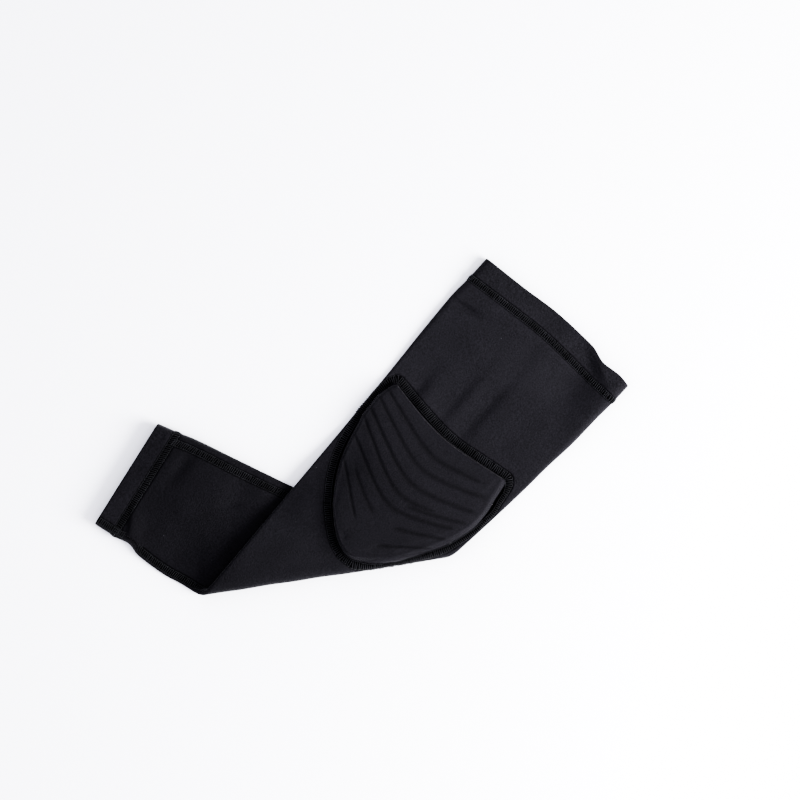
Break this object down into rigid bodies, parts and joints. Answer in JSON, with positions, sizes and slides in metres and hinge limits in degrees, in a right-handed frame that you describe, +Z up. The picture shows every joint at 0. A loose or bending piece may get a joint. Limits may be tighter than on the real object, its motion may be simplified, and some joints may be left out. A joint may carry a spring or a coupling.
{
  "type": "padded arm sleeve",
  "caption": "Tapered stretch-knit arm sleeve with a ribbed foam elbow pad and turned hems, laid flat with its forearm end folded under.",
  "frame": {"origin": "on the table, at the middle of the sleeve's footprint as it lies", "axes": "+X along the sleeve towards the upper-arm opening, +Y towards the straight edge and the folded forearm end, +Z up out of the table"},
  "size_m": [0.3448, 0.2503, 0.024],
  "materials": {
    "sleeve_knit": "matt black stretch knit with a fine sheen",
    "hem_knit": "matt black stretch knit, turned double and sewn with twin needles",
    "pad_knit": "smooth black knit pressed over moulded foam"
  },
  "bodies": {
    "root": {"front_panel": "sleeve_knit", "back_panel": "sleeve_knit", "elbow_pad": "pad_knit", "upper_hem": "hem_knit", "wrist_hem": "hem_knit"}
  },
  "joints": []
}
